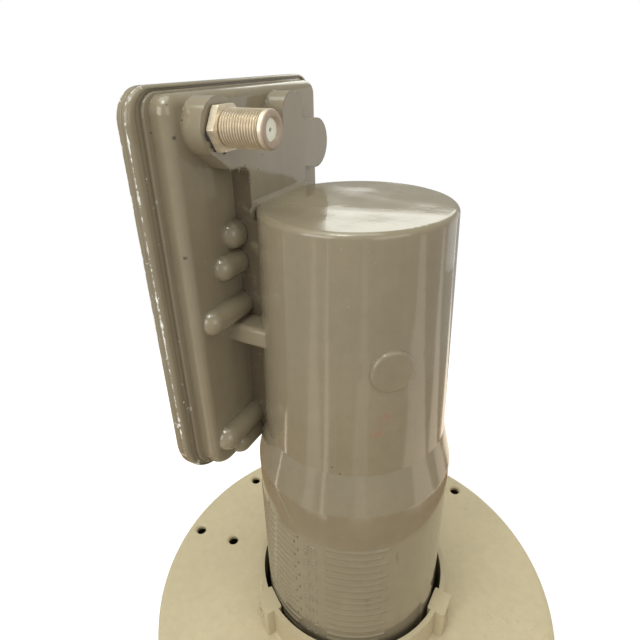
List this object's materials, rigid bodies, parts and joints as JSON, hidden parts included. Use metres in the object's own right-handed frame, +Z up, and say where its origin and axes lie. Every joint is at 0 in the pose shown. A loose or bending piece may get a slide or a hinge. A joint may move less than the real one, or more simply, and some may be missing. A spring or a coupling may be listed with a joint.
{
  "type": "satellite lnb",
  "caption": "C-band satellite low-noise block: round feed tube with a flat electronics box and F port, clamped in a grooved scalar ring.",
  "frame": {"origin": "on the feed axis, at the plane of the scalar ring's open face that the object stands on", "axes": "+Z up along the feed tube toward its closed top; the electronics box lies on the -X side and its face looks along +X; the F port is on the -Y half of the box"},
  "size_m": [0.1626, 0.1626, 0.2169],
  "materials": {
    "housing_paint": "glossy grey-brown enamel over die-cast aluminium",
    "ring_paint": "semi-gloss cream enamel over die-cast aluminium",
    "cover_paint": "glossy grey-brown enamel over sheet aluminium",
    "plated_brass": "bright nickel plating",
    "contact_metal": "gold flash",
    "steel": "zinc-plated steel",
    "seal_rubber": "matt black",
    "white_plastic": "matt white",
    "board": "green solder mask",
    "can_steel": "tinned sheet",
    "part_black": "moulded epoxy",
    "ceramic": "fired ceramic",
    "probe_metal": "silver plated"
  },
  "bodies": {
    "ring": {"scalar_ring": "ring_paint", "clamp_screws": "steel"},
    "lnb": {"main_housing": "housing_paint", "feed_window": "white_plastic", "window_seal": "seal_rubber", "box_cover": "cover_paint", "cover_seal": "seal_rubber", "cover_screws": "steel", "circuit_board": "board", "board_screws": "steel", "shield_can": "can_steel", "transistors": "part_black", "capacitors": "part_black", "chips": "ceramic", "dielectric_resonator": "ceramic", "voltage_regulator": "part_black", "probe_near": "probe_metal", "probe_far": "probe_metal", "sleeve_near": "white_plastic", "sleeve_far": "white_plastic", "connector_body": "plated_brass", "connector_insulator": "white_plastic", "connector_contact": "contact_metal", "connector_seal": "seal_rubber"}
  },
  "joints": [
    {"name": "feed_slide", "type": "slide", "parent": "ring", "child": "lnb", "axis": [0, 0, 1], "range_m": [-0.047, 0.012]}
  ]
}
